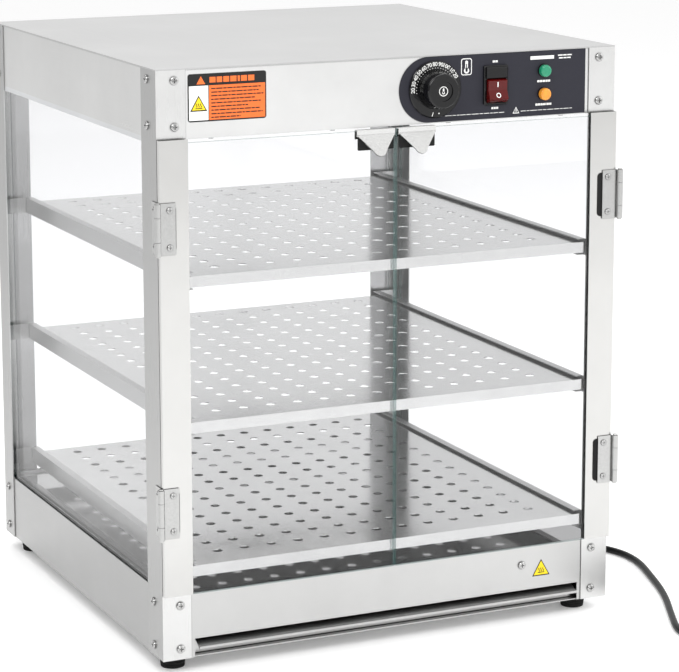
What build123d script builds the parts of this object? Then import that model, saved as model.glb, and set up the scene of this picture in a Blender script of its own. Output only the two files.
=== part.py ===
from build123d import *
from math import cos, radians, sin, tan
import os

os.makedirs("parts", exist_ok=True)

# Hot food display case. Millimetres, +Z up, +Y towards the back, +X to the right.
# Everything is drawn about the cabinet's own centre with heights from the post feet;
# put() then moves it so that z = 0 is the floor and the bounding box is centred.

# ---- overall
width = 500.0
depth = 500.0
height = 600.0
foot_height = 16.0
post_sheet = 1.2
panel_sheet = 1.0
glass = 4.0
gap = 0.3

# ---- frame and panels
front_flange = 30.0
side_flange_front = 40.0
side_flange_rear = 30.0
rear_flange = 38.0
cover_sheet = 1.2
head_height = 68.0
base_side_height = 69.0
base_front_height = 66.0
slot_height = 19.0
slot_leg = 3.0
return_width = 12.0
channel_depth = 5.0
screw_inset = 18.5
screw_rows = (11.0, 55.4)
side_screw_front = 23.7
side_screw_rear = 13.0
pan_screw_inner = 63.4
pan_screw_margin = 58.6
pan_screw_back = 6.0
sticker_screw_left = 66.6
sticker_screw_z = 46.2
vent_pitch = 9.0
vent_width = 3.0
vent_length = 22.0
head_vents = 10
head_vent_rise = 30.0
base_vents = 8
base_vent_rise = 24.0
ledge_drop = 6.0
glass_margin = 14.0
rear_glass_margin = 2.0
glass_clearance = 0.4
channel_leg = 2.4
deck_fold = 12.0
deck_clearance = 3.0

# ---- screws
head_radius = 4.0
head_thick = 2.2
shank_radius = 2.0
hole_radius = 2.25
nut_radius = 3.6
nut_thick = 2.4
cross_length = 4.4
cross_width = 0.9
cross_depth = 1.1

# ---- shelves
shelf_headroom = 133.0
shelf_low = 94.0
shelf_sheet = 0.9
shelf_side_margin = 32.0
shelf_lip = 11.0
shelf_rear_margin = 20.0
shelf_hole_radius = 5.0
shelf_columns = 13
shelf_rows = 15
shelf_hole_side = 41.6
shelf_hole_front = 37.8
shelf_hole_rear = 20.8
rail_clearance = 1.3
rail_top_flange = 7.0
rail_above = 3.0
rail_below = 14.0
rail_tab = 12.0
rail_rear_margin = 9.0

# ---- doors
door_bottom = 67.0
stile_overlap = 1.0
glass_drop = 2.5
door_gap = 2.0
stile_width = 30.0
stile_sheet = 0.7
door_stand_off = 0.5
handle_start = 2.0
handle_width = 41.0
handle_sheet = 1.4
handle_strip = 5.0
handle_tip_drop = 24.0
handle_tip_radius = 6.5
handle_reach = 12.4
pad_thick = 0.8

# ---- hinges
hinge_from_end = 84.8
hinge_length = 50.0
leaf_sheet = 1.0
leaf_width = 14.0
post_leaf_width = 17.0
packing = 0.4
barrel_radius = 3.25
pin_radius = 1.6
pin_bore = 1.66
knuckle_end = 13.0
leaf_screw_step = 18.0
leaf_screw_inset = 9.8
leaf_screw_radius = 3.0
leaf_screw_thick = 1.3
leaf_shank_radius = 1.5
leaf_hole_radius = 1.7

# ---- controls
overlay_margin = 34.0
overlay_length = 210.0
overlay_thick = 0.5
knob_from_right = 171.0
control_rise = 34.0
skirt_radius = 28.5
skirt_thick = 2.0
knob_base_radius = 20.0
cap_radius = 17.0
dimple_radius = 10.0
dimple_depth = 1.2
knob_reach = 20.0
shaft_radius = 3.0
shaft_clearance = 0.15
bushing_radius = 5.0
thermostat_size = (44.0, 30.0, 36.0)
switch_from_right = 103.5
switch_rise = 34.85
rocker_drop = 5.6
bezel_width = 27.0
bezel_height = 39.7
bezel_thick = 3.0
bezel_lap = 0.6
shell_wall = 0.8
shell_clearance = 0.3
rocker_width = 21.0
rocker_reach = 12.0
rocker_clearance = 0.4
rocker_tip = 9.0
rocker_valley = 5.6
rocker_rest_tilt = 10.0
hood_reach = 5.5
switch_deep = 26.0
lamp_from_right = 48.0
lamp_spread = 11.8
lamp_lift = 0.6
lens_radius = 6.15
lamp_bezel_radius = 7.0
lamp_reach = 6.6

# ---- crumb tray
tray_side_margin = 37.0
tray_sheet = 0.8
tray_floor = 1.6
tray_wall = 16.0
tray_front_margin = 10.0
tray_rear_margin = 22.0
tray_lip_overhang = 4.0
tray_lip_height = 10.4
tray_lip_radius = 1.5

# ---- heater
heater_radius = 4.0
heater_height = 40.0
heater_margin = 100.0
heater_fingers = 4
heater_bracket_inset = 60.0

terminal_margin = (25.2, 10.0)
terminal_from_rear = (100.0, 60.0)
terminal_height = 16.0
terminal_hole = 1.6

# ---- feet
foot_radius = 14.0
foot_base_radius = 12.0
foot_side_margin = 22.0
foot_end_margin = 32.0
foot_grooves = 4

# ---- cord
cord_radius = 3.6
cord_exit_margin = 72.0
cord_exit_z = 24.0
relief_length = 26.0
relief_radius = 8.0
coil_x = 352.0
coil_y = -345.0
coil_outer = 47.0
coil_inner = 28.1
plug_length = 36.0
plug_width = 26.0
plug_thick = 18.0
blade_spacing = 12.7
blade_length = 17.5
blade_width = 6.4
blade_thick = 1.5
earth_radius = 2.3
earth_length = 20.0
earth_rise = 4.4

hw = width / 2
hd = depth / 2
post_top = height - foot_height - cover_sheet
head_bottom = post_top + cover_sheet - head_height
front_reach = depth / 2 + knob_reach
rear_reach = depth / 2 + head_thick
centre_y = (front_reach - rear_reach) / 2

shelf_half = hw - shelf_side_margin
shelf_rear = hd - shelf_rear_margin
shelf_pitch = (head_bottom - shelf_low - shelf_headroom) / 2
rail_inner = shelf_half + rail_clearance
rail_rear = hd - rail_rear_margin
stile_top = head_bottom + stile_overlap
glass_top = head_bottom - glass_drop
hinge_low = door_bottom + hinge_from_end
hinge_high = stile_top - hinge_from_end
overlay_right = hw - overlay_margin
overlay_left = overlay_right - overlay_length
knob_x = overlay_right - knob_from_right
knob_z = head_bottom + control_rise
switch_x = overlay_right - switch_from_right
switch_z = head_bottom + switch_rise
rocker_z = switch_z - rocker_drop
lamp_x = overlay_right - lamp_from_right
lamp_middle = head_bottom + control_rise + lamp_lift
lamp_heights = (lamp_middle + lamp_spread, lamp_middle - lamp_spread)
tray_half = hw - tray_side_margin
tray_front = hd - tray_front_margin
tray_rear = hd - tray_rear_margin
tray_lip_reach = hd + tray_lip_overhang
heater_half = hw - heater_margin
heater_span = hd - heater_margin
foot_x = hw - foot_side_margin
cord_exit_x = hw - cord_exit_margin
foot_y = hd - foot_end_margin
terminal_x = [hw - margin for margin in terminal_margin]
terminal_y = [hd - margin for margin in terminal_from_rear]


def put(name, *solids):
    """Write one node, moved into the shared frame."""
    shape = solids[0] if len(solids) == 1 else Compound(children=list(solids))
    export_step(shape.moved(Location((0, centre_y, foot_height))), f"parts/{name}.step")


def block(x0, x1, y0, y1, z0, z1):
    """A box between two corners."""
    size = (abs(x1 - x0), abs(y1 - y0), abs(z1 - z0))
    return Pos((x0 + x1) / 2, (y0 + y1) / 2, (z0 + z1) / 2) * Box(*size)


def rod(point, towards, radius, length):
    """A cylinder that starts at point and runs towards a direction."""
    plane = Plane(origin=point, z_dir=towards)
    return plane * Cylinder(radius, length, align=(Align.CENTER, Align.CENTER, Align.MIN))


def drill(shape, points, towards, radius=hole_radius, reach=8.0):
    """Round holes through a sheet at each point."""
    for point in points:
        start = Vector(*point) - Vector(*towards) * reach
        shape -= rod(start, towards, radius, 2 * reach)
    return shape


def screw(point, out, grip, nut=True):
    """A pan head screw: head outside the point, shank inwards, nut behind the grip."""
    plane = Plane(origin=point, z_dir=out)
    up = (Align.CENTER, Align.CENTER, Align.MIN)
    down = (Align.CENTER, Align.CENTER, Align.MAX)
    head = Cylinder(head_radius, head_thick, align=up)
    head = fillet(head.edges().sort_by(Axis.Z)[-1], head_thick * 0.55)
    for turn in (0, 90):
        slot = Box(cross_length, cross_width, 2 * cross_depth)
        head -= Pos(0, 0, head_thick) * Rot(0, 0, turn) * slot
    shank = Cylinder(shank_radius, grip + (nut_thick if nut else 0), align=down)
    body = head + shank
    if nut:
        body += Pos(0, 0, -grip) * Cylinder(nut_radius, nut_thick, align=down)
    return plane * body


def leaf_screw(point, out, grip):
    """A low pan head screw with a short plain shank."""
    plane = Plane(origin=point, z_dir=out)
    up = (Align.CENTER, Align.CENTER, Align.MIN)
    down = (Align.CENTER, Align.CENTER, Align.MAX)
    head = Cylinder(leaf_screw_radius, leaf_screw_thick, align=up)
    head = fillet(head.edges().sort_by(Axis.Z)[-1], leaf_screw_thick * 0.6)
    for turn in (0, 90):
        head -= Pos(0, 0, leaf_screw_thick) * Rot(0, 0, turn) * Box(3.4, 0.7, 1.3)
    return plane * (head + Cylinder(leaf_shank_radius, grip, align=down))


def mirrored(shape):
    """The same piece on the other side of the cabinet."""
    return shape.mirror(Plane.YZ)


def both(shape):
    """A piece and its twin on the other side."""
    return [shape, mirrored(shape)]


# ---------------------------------------------------------------- screw positions
screw_z = [z for z in screw_rows] + [post_top + cover_sheet - z for z in reversed(screw_rows)]
front_points = [(hw - screw_inset, -hd, z) for z in screw_z]
rear_points = [(hw - screw_inset, hd, z) for z in screw_z]
side_points = [(hw, y, z) for z in screw_z for y in (-hd + side_screw_front, hd - side_screw_rear)]
screw_grip = post_sheet + panel_sheet
inner = hw - post_sheet
inner_y = hd - post_sheet

# ---------------------------------------------------------------- posts
hinge_heights = (hinge_low, hinge_high)
leaf_screw_z = [h + s for h in hinge_heights for s in (-leaf_screw_step, leaf_screw_step)]
post_leaf_y = -hd + 5.0
leaf_holes = [(hw, post_leaf_y, z) for z in leaf_screw_z]

front_post = block(hw - front_flange, hw, -hd, -inner_y, 0, post_top)
front_post += block(inner, hw, -hd, -hd + side_flange_front, 0, post_top)
front_post = drill(front_post, front_points, (0, 1, 0))
front_side = [p for p in side_points if p[1] < 0]
rear_side = [p for p in side_points if p[1] > 0]
front_post = drill(front_post, front_side, (1, 0, 0))
front_post = drill(front_post, leaf_holes, (1, 0, 0), leaf_hole_radius)
rear_post = block(hw - rear_flange, hw, inner_y, hd, 0, post_top)
rear_post += block(inner, hw, hd - side_flange_rear, hd, 0, post_top)
rear_post = drill(rear_post, rear_points, (0, 1, 0))
rear_post = drill(rear_post, rear_side, (1, 0, 0))
put("front_right_post", front_post)
put("front_left_post", mirrored(front_post))
put("rear_right_post", rear_post)
put("rear_left_post", mirrored(rear_post))

# ---------------------------------------------------------------- screws
case_screws = [screw(p, (0, -1, 0), screw_grip) for p in front_points]
case_screws += [screw(p, (0, 1, 0), screw_grip) for p in rear_points]
case_screws += [screw(p, (1, 0, 0), screw_grip) for p in side_points]
sticker_screw = (overlay_right - sticker_screw_left, -inner_y, sticker_screw_z)
front_screw = screw(sticker_screw, (0, -1, 0), panel_sheet)
put("case_screws", front_screw, *[s for one in case_screws for s in both(one)])

# ---------------------------------------------------------------- top box
put("top_cover", block(-hw, hw, -hd, hd, post_top, post_top + cover_sheet))

panel_in = inner - panel_sheet
panel_in_y = inner_y - panel_sheet
sheet_end = panel_in - gap
corner = return_width + 0.5
head_top = post_top
z_ret = head_bottom
z_pan = head_bottom + panel_sheet
head_screw_z = screw_z[2:]
base_screw_z = screw_z[:2]


def on_rows(points, rows):
    """The screw places that lie on the given heights."""
    return [p for p in points if p[2] in rows]


def cut_vents(panel, count, low):
    """A row of upright slots through a rear panel."""
    for k in range(count):
        x = (k - (count - 1) / 2) * vent_pitch
        half = vent_width / 2
        panel -= block(x - half, x + half, hd - 4 * panel_sheet, hd, low, low + vent_length)
    return panel


shaft_hole = (knob_x, -hd, knob_z)
lamp_points = [(lamp_x, -hd, z) for z in lamp_heights]
slot_side = bezel_width / 2 - bezel_lap
slot_rise = bezel_height / 2 - bezel_lap
switch_slot = block(
    switch_x - slot_side, switch_x + slot_side, -hd - 3, -hd + 8,
    switch_z - slot_rise, switch_z + slot_rise,
)

fascia = block(-sheet_end, sheet_end, -inner_y, -panel_in_y, z_ret, head_top)
fascia += block(-hw + corner * 2, hw - corner * 2, -inner_y, -inner_y + return_width, z_ret, z_pan)
both_front = front_points + [(-p[0], p[1], p[2]) for p in front_points]
both_rear = rear_points + [(-p[0], p[1], p[2]) for p in rear_points]
fascia = drill(fascia, on_rows(both_front, head_screw_z), (0, 1, 0))
fascia = drill(fascia, [shaft_hole], (0, 1, 0), bushing_radius + gap)
fascia = drill(fascia, lamp_points, (0, 1, 0), lens_radius - 0.6)
fascia -= switch_slot
pan_screw_x = [s * x for x in (pan_screw_inner, hw - pan_screw_margin) for s in (-1, 1)]
pan_screw_y = -inner_y + pan_screw_back
pan_points = [(x, pan_screw_y, z_ret) for x in pan_screw_x]
fascia = drill(fascia, pan_points, (0, 0, 1), leaf_hole_radius, 4.0)
put("control_fascia", fascia)

overlay_low = z_ret + 1.0
overlay_high = post_top - 0.4
overlay_round = (overlay_high - overlay_low) / 2
overlay_y = -inner_y - overlay_thick
overlay = block(
    overlay_left + overlay_round, overlay_right, overlay_y, -inner_y, overlay_low, overlay_high
)
overlay_mid = (overlay_high + overlay_low) / 2
overlay += rod(
    (overlay_left + overlay_round, overlay_y, overlay_mid), (0, 1, 0), overlay_round, overlay_thick
)
overlay = drill(overlay, [shaft_hole], (0, 1, 0), bushing_radius + gap)
overlay = drill(overlay, lamp_points, (0, 1, 0), lens_radius - 0.6)
overlay -= switch_slot
put("control_overlay", overlay)

head_side = block(panel_in, inner, -inner_y + gap, inner_y - gap, z_ret, head_top)
head_side += block(inner - return_width, inner, -hd + 2 * corner, hd - 2 * corner, z_ret, z_pan)
head_side = drill(head_side, on_rows(side_points, head_screw_z), (1, 0, 0))
put("top_right_panel", head_side)
put("top_left_panel", mirrored(head_side))

head_rear = block(-sheet_end, sheet_end, panel_in_y, inner_y, z_ret, head_top)
head_rear += block(-hw + corner * 2, hw - corner * 2, inner_y - return_width, inner_y, z_ret, z_pan)
head_rear = drill(head_rear, on_rows(both_rear, head_screw_z), (0, 1, 0))
head_rear = cut_vents(head_rear, head_vents, z_ret + head_vent_rise)
put("top_rear_panel", head_rear)

pan_half = panel_in - gap
pan_front = panel_in_y - gap
ceiling = block(-pan_half, pan_half, -pan_front, pan_front, z_pan, z_pan + panel_sheet)
ceiling = drill(ceiling, pan_points, (0, 0, 1), leaf_hole_radius, 4.0)
for sx in (-1, 1):
    for sy in (-1, 1):
        cx = sx * (pan_half - corner / 2)
        cy = sy * (pan_front - corner / 2)
        ceiling -= Pos(cx, cy, z_pan) * Box(corner, corner, 4)
put("ceiling_pan", ceiling)
put("ceiling_screws", *[leaf_screw(p, (0, 0, -1), 2 * panel_sheet + 1.5) for p in pan_points])

# ---------------------------------------------------------------- base box
deck_top = base_front_height
front_base = block(-sheet_end, sheet_end, -inner_y, -panel_in_y, 0, base_front_height)
slot_half = hw - front_flange - slot_leg - 1.0
front_base -= block(-slot_half, slot_half, -hd, -hd + 4, -1, slot_height)
front_base = drill(front_base, on_rows(both_front, base_screw_z), (0, 1, 0))
front_base = drill(front_base, [sticker_screw], (0, 1, 0))
put("base_front_panel", front_base)

side_base = block(panel_in, inner, -inner_y + gap, inner_y - gap, 0, base_side_height)
side_base = drill(side_base, on_rows(side_points, base_screw_z), (1, 0, 0))
put("base_right_panel", side_base)
put("base_left_panel", mirrored(side_base))

rear_base = block(-sheet_end, sheet_end, panel_in_y, inner_y, 0, base_side_height)
rear_base = drill(rear_base, on_rows(both_rear, base_screw_z), (0, 1, 0))
cord_point = (cord_exit_x, hd, cord_exit_z)
rear_base = drill(rear_base, [cord_point], (0, 1, 0), relief_radius - 1.5)
rear_base = cut_vents(rear_base, base_vents, base_vent_rise)
put("base_rear_panel", rear_base)

foot_centres = [(x, y) for x in (-foot_x, foot_x) for y in (-foot_y, foot_y)]
pan_edge = panel_in - gap
base_pan = block(-pan_edge, pan_edge, -pan_front, pan_front, 0, panel_sheet)
base_pan = drill(base_pan, [(x, y, 0) for x, y in foot_centres], (0, 0, 1))
put("base_pan", base_pan)

deck_half = panel_in - glass - deck_clearance
deck_rear = deck_half + hd - hw
deck = block(-deck_half, deck_half, -pan_front, deck_rear, deck_top - panel_sheet, deck_top)
low = deck_top - deck_fold
deck += block(-deck_half, deck_half, -pan_front, -pan_front + panel_sheet, low, deck_top)
deck += block(-deck_half, deck_half, deck_rear - panel_sheet, deck_rear, low, deck_top)
for s in (-1, 1):
    deck += block(
        s * deck_half, s * (deck_half - panel_sheet), -pan_front + corner, deck_rear, low, deck_top
    )
for sx in (-1, 1):
    deck -= Pos(sx * (deck_half - 4), -pan_front + 3.5, deck_top) * Box(18, 13, 2 * deck_fold + 2)
put("deck_plate", deck)

# ---------------------------------------------------------------- glass and channels
glass_out = panel_in - glass_clearance
glass_in = glass_out - glass
glass_half = hd - glass_margin
rear_half = hw - glass_margin - rear_glass_margin
glass_low = base_side_height - ledge_drop
glass_high = z_ret - panel_sheet - 0.2
right_glass = block(glass_in, glass_out, -glass_half, glass_half, glass_low, glass_high)
put("right_glass", right_glass)
put("left_glass", mirrored(right_glass))
depth_shift = hd - hw
rear_in = glass_in + depth_shift
rear_out = glass_out + depth_shift
put("rear_glass", block(-rear_half, rear_half, rear_in, rear_out, glass_low, glass_high))


def glass_channel(half, outer):
    """Top channel over a pane's edge and the ledge under it, drawn along Y at +X."""
    top = block(outer - glass - channel_leg, outer, -half, half, z_ret - panel_sheet, z_ret)
    top += block(outer - panel_sheet, outer, -half, half, z_ret - channel_depth, z_ret)
    leg = outer - glass - channel_leg
    top += block(leg, leg + panel_sheet * 0.8, -half, half, z_ret - channel_depth, z_ret)
    ledge = block(leg, outer - panel_sheet, -half, half, glass_low - 1, glass_low)
    ledge += block(leg, leg + panel_sheet * 0.8, -half, half, glass_low - 1, base_side_height)
    return [top, ledge]


side_channels = glass_channel(glass_half, inner)
rear_channels = [c.rotate(Axis.Z, 90) for c in glass_channel(rear_half, inner_y)]
put("glass_channels", *[c for one in side_channels for c in both(one)], *rear_channels)

# ---------------------------------------------------------------- shelves and rails
deck_heights = [shelf_low + k * shelf_pitch for k in range(3)]
shelf_names = ("lower", "middle", "upper")
lip_front = -hd
hole_half = shelf_half - shelf_hole_side
column_x = [hole_half * (2 * k / (shelf_columns - 1) - 1) for k in range(shelf_columns)]
first_row = lip_front + shelf_hole_front
last_row = shelf_rear - shelf_hole_rear
row_y = [first_row + (last_row - first_row) * k / (shelf_rows - 1) for k in range(shelf_rows)]


def shelf(top):
    """Perforated tray with its front lip and two folded sides, drawn flat."""
    t = shelf_sheet
    body = block(-shelf_half, shelf_half, lip_front, shelf_rear, top - t, top)
    body += block(-shelf_half, shelf_half, lip_front, lip_front + t, top - shelf_lip, top)
    for s in (-1, 1):
        edge = s * shelf_half
        body += block(edge, edge - s * t, lip_front + 3, shelf_rear, top - shelf_lip, top)
    body += block(-shelf_half + 2, shelf_half - 2, shelf_rear - t, shelf_rear, top - shelf_lip, top)
    holes = [Pos(x, y, top) * Cylinder(shelf_hole_radius, 3 * t) for x in column_x for y in row_y]
    return body - holes


def rail(top):
    """C-section runner between the posts with a tab against each post."""
    t = panel_sheet
    low = top - rail_below
    high = top + rail_above
    web = rail_inner
    y0 = -inner_y
    y1 = rail_rear
    body = block(web, web + t, y0, y1, low, high)
    body += block(web + t - rail_top_flange - t, web + t, y0 + 3, y1, high - t, high)
    body += block(web + t - rail_top_flange - t, web + t, y0 + 3, y1, low, low + t)
    body += block(web, web + rail_tab, y0, y0 + t, low, high)
    body += block(web, inner, y1 - t, y1, low, high)
    return body


for label, top in zip(shelf_names, deck_heights):
    put(f"{label}_shelf", shelf(top))
put("shelf_rails", *[one for top in deck_heights for one in both(rail(top))])

# ---------------------------------------------------------------- doors
back_y = -hd - door_stand_off
glass_back = back_y - stile_sheet
glass_front = glass_back - glass
front_y = glass_front - stile_sheet
stile_side = hw - gap
stile_inner = hw - stile_width
leaf_back = front_y - packing
leaf_front = leaf_back - leaf_sheet
axis_x = hw + barrel_radius
axis_y = front_y - barrel_radius
door_leaf_screw = [(hw - leaf_screw_inset, leaf_front, z) for z in leaf_screw_z]

door_glass = block(
    door_gap / 2, stile_side - stile_sheet, glass_front, glass_back, door_bottom, glass_top
)
door_glass = drill(door_glass, door_leaf_screw, (0, 1, 0), leaf_hole_radius, 12.0)
stile = block(stile_inner, stile_side, front_y, back_y, door_bottom, stile_top)
stile -= block(stile_inner - 1, stile_side - stile_sheet, glass_front, glass_back, 0, height)
stile = drill(stile, door_leaf_screw, (0, 1, 0), leaf_hole_radius, 12.0)

handle_mid = handle_start + handle_width / 2
strip_low = glass_top - handle_strip
clip_front = glass_front - handle_sheet
clip = block(handle_start, handle_start + handle_width, clip_front, glass_back + 0.7,
             glass_top, glass_top + handle_sheet)
clip += block(handle_start, handle_start + handle_width, clip_front, glass_front,
              strip_low, glass_top + handle_sheet)
clip += block(handle_start, handle_start + handle_width, glass_back, glass_back + 0.7,
              strip_low - 3, glass_top + handle_sheet)
tongue_drop = handle_tip_drop - handle_strip
tongue_plane = Plane(
    origin=(handle_mid, glass_front - pad_thick - 0.1, strip_low),
    x_dir=(1, 0, 0),
    z_dir=(0, -tongue_drop, handle_reach),
)
tongue_long = (tongue_drop ** 2 + handle_reach ** 2) ** 0.5 - handle_tip_radius * 0.8
with BuildSketch(tongue_plane) as tongue_sketch:
    half = handle_width / 2
    with BuildLine():
        a = Line((-half, handle_sheet * 0.7), (half, handle_sheet * 0.7))
        b = Line(a @ 1, (handle_tip_radius, -tongue_long))
        c = ThreePointArc(
            b @ 1, (0, -tongue_long - handle_tip_radius * 0.8), (-handle_tip_radius, -tongue_long)
        )
        Line(c @ 1, a @ 0)
    make_face()
tongue = extrude(tongue_sketch.sketch, handle_sheet)
handle = clip + tongue


def knuckle(z0, z1):
    """One hinge knuckle, a tube about the pin."""
    tube = rod((axis_x, axis_y, z0), (0, 0, 1), barrel_radius, z1 - z0)
    return tube - rod((axis_x, axis_y, z0 - 1), (0, 0, 1), pin_bore, z1 - z0 + 2)


def door_leaf(centre):
    """Leaf on the door with the two end knuckles."""
    low = centre - hinge_length / 2
    high = centre + hinge_length / 2
    x1 = axis_x - barrel_radius - gap
    x0 = x1 - leaf_width - 1.7
    plate = block(x0, x1, leaf_front, leaf_back, low, high)
    bore = rod((axis_x, axis_y, low - 1), (0, 0, 1), pin_bore, hinge_length + 2)
    for z0, z1 in ((low, low + knuckle_end), (high - knuckle_end, high)):
        plate += block(x1 - 1, axis_x, leaf_front, leaf_back, z0, z1) - bore
        plate += knuckle(z0, z1)
    return drill(plate, door_leaf_screw, (0, 1, 0), leaf_hole_radius)


def post_leaf(centre):
    """Leaf on the post's side with the middle knuckle."""
    low = centre - hinge_length / 2
    high = centre + hinge_length / 2
    y0 = axis_y + barrel_radius + gap
    plate = block(hw, hw + leaf_sheet, y0, -hd + post_leaf_width - 5, low, high)
    z0 = low + knuckle_end + gap
    z1 = high - knuckle_end - gap
    bore = rod((axis_x, axis_y, low - 1), (0, 0, 1), pin_bore, hinge_length + 2)
    plate += block(hw, hw + leaf_sheet, axis_y, y0 + 1, z0, z1) - bore
    plate += knuckle(z0, z1)
    return drill(plate, leaf_holes, (1, 0, 0), leaf_hole_radius)


def pin(centre):
    """Hinge pin with a low domed end at each side."""
    low = centre - hinge_length / 2
    body = rod((axis_x, axis_y, low - 1.2), (0, 0, 1), pin_radius, hinge_length + 2.4)
    for z in (low - 1.4, low + hinge_length + 0.2):
        body += rod((axis_x, axis_y, z), (0, 0, 1), pin_radius + 0.6, 1.2)
    return body


post_screws = [leaf_screw((hw + leaf_sheet, p[1], p[2]), (1, 0, 0), 4.0) for p in leaf_holes]
door_grip = leaf_sheet + packing + 2 * stile_sheet + glass
door_screws = [leaf_screw(p, (0, -1, 0), door_grip) for p in door_leaf_screw]
door_leaves = [door_leaf(h) for h in hinge_heights]
post_leaves = [post_leaf(h) for h in hinge_heights]
pins = [pin(h) for h in hinge_heights]

put("right_door_glass", door_glass)
put("left_door_glass", mirrored(door_glass))
put("right_door_stile", stile)
put("left_door_stile", mirrored(stile))
put("right_door_handle", handle)
put("left_door_handle", mirrored(handle))
put("right_door_leaves", *door_leaves)
put("left_door_leaves", *[mirrored(p) for p in door_leaves])
put("right_door_hinge_screws", *door_screws)
put("left_door_hinge_screws", *[mirrored(p) for p in door_screws])
put("post_hinge_leaves", *[q for p in post_leaves for q in both(p)])
put("post_hinge_screws", *[q for p in post_screws for q in both(p)])
put("hinge_pins", *[q for p in pins for q in both(p)])

# ---------------------------------------------------------------- controls
knob_back = overlay_y - 0.7
knob_front = -front_reach


def front_disc(radius, y0, y1, x=knob_x, z=knob_z):
    """A disc facing the front between two depths."""
    return rod((x, max(y0, y1), z), (0, -1, 0), radius, abs(y1 - y0))


skirt = front_disc(skirt_radius, knob_back, knob_back - skirt_thick)
skirt = chamfer(skirt.edges().group_by(Axis.Y)[0], 0.8)
cap_start = knob_back - skirt_thick
cone = Plane(origin=(knob_x, cap_start, knob_z), z_dir=(0, -1, 0)) * Cone(
    knob_base_radius, cap_radius, cap_start - knob_front,
    align=(Align.CENTER, Align.CENTER, Align.MIN),
)
knob = skirt + cone
knob = fillet(knob.edges().group_by(Axis.Y)[0], 1.5)
knob -= front_disc(dimple_radius, knob_front - 1, knob_front + dimple_depth)
knob -= front_disc(shaft_radius, knob_back + 1, knob_back - 12)
put("thermostat_knob", knob)
tx, ty, tz = thermostat_size
body_front = -panel_in_y
put("knob_shaft", front_disc(shaft_radius, knob_back - 12, body_front + 6))

thermostat = block(
    knob_x - tx / 2, knob_x + tx / 2, body_front, body_front + ty, knob_z - tz / 2, knob_z + tz / 2
)
thermostat += front_disc(bushing_radius, body_front, overlay_y)
thermostat -= front_disc(shaft_radius + shaft_clearance, overlay_y - 1, body_front + 7)
capillary_turn = 14.0
bulb_z = z_pan + panel_sheet + 3.0
thermostat_back = body_front + ty
put("thermostat_body", thermostat)
line = FilletPolyline(
    (knob_x, thermostat_back, knob_z - 8),
    (knob_x, thermostat_back + 60, knob_z - 8),
    (knob_x, thermostat_back + 60, bulb_z),
    (knob_x + 60, thermostat_back + 60, bulb_z),
    radius=capillary_turn * 0.85,
)
tube_start = Plane(origin=line @ 0, z_dir=line % 0)
capillary = sweep(tube_start * Circle(1.0), path=line)
bulb = rod(line @ 1, (1, 0, 0), 3.0, 80)
put("sensing_bulb", capillary + bulb)

bezel_front = overlay_y - bezel_thick
bezel = block(
    switch_x - bezel_width / 2, switch_x + bezel_width / 2, bezel_front, overlay_y,
    switch_z - bezel_height / 2, switch_z + bezel_height / 2,
)
bezel = fillet(bezel.edges().filter_by(Axis.Y), 2.0)
bezel = chamfer(bezel.edges().group_by(Axis.Y)[0], 0.6)
wall = rocker_width / 2 + rocker_clearance
reach_clear = rocker_reach + rocker_clearance
hood = block(
    switch_x - wall - shell_wall, switch_x + wall + shell_wall, overlay_y - hood_reach, overlay_y,
    rocker_z + reach_clear, switch_z + bezel_height / 2 - 1.5,
)
hood = chamfer(hood.edges().group_by(Axis.Y)[0], 0.8)
shell = block(
    switch_x - wall - shell_wall, switch_x + wall + shell_wall,
    overlay_y - shell_wall, overlay_y + switch_deep,
    rocker_z - reach_clear - shell_wall, switch_z + slot_rise - shell_clearance,
)
pivot_y = overlay_y - 0.6
well = block(
    switch_x - wall, switch_x + wall, bezel_front - 1, pivot_y,
    rocker_z - reach_clear, rocker_z + reach_clear,
)
well += rod((switch_x - wall, pivot_y, rocker_z), (1, 0, 0), reach_clear, 2 * wall)
switch = bezel + hood + shell - well
for dx in (-5, 5):
    for dz in (-9, 0, 9):
        tab = block(-0.4, 0.4, 0, 8, -2.4, 2.4)
        switch += Pos(switch_x + dx, overlay_y + switch_deep, switch_z + dz) * tab
put("switch_housing", switch)

with BuildSketch(Plane.YZ) as rocker_profile:
    with BuildLine():
        Polyline(
            (0, rocker_reach * 1.2), (-rocker_tip, rocker_reach * 1.2), (-rocker_valley, 0),
            (-rocker_tip, -rocker_reach * 1.2), (0, -rocker_reach * 1.2), (3.5, 0), close=True,
        )
    make_face()
rocker = extrude(rocker_profile.sketch, rocker_width / 2, both=True)
rocker &= rod((-rocker_width, 0, 0), (1, 0, 0), rocker_reach, 2 * rocker_width)
rocker = rocker.rotate(Axis.X, -rocker_rest_tilt)
put("power_rocker", Pos(switch_x, pivot_y, rocker_z) * rocker)

lamp_holders = []
for label, z in zip(("green", "amber"), lamp_heights):
    ring = front_disc(lamp_bezel_radius, overlay_y, overlay_y - 1.4, lamp_x, z)
    ring += front_disc(lens_radius - 0.9, overlay_y, overlay_y + 14, lamp_x, z)
    ring -= front_disc(lens_radius - 1.6, overlay_y - 3, overlay_y + 8, lamp_x, z)
    lens = front_disc(lens_radius, overlay_y - 1.4, overlay_y - lamp_reach, lamp_x, z)
    lens = fillet(lens.edges().group_by(Axis.Y)[0], 2.2)
    lens += front_disc(lens_radius - 1.6, overlay_y - 1.4, overlay_y + 4, lamp_x, z)
    lamp_holders.append(ring)
    put(f"{label}_lamp_lens", lens)
put("lamp_holders", *lamp_holders)

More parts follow.
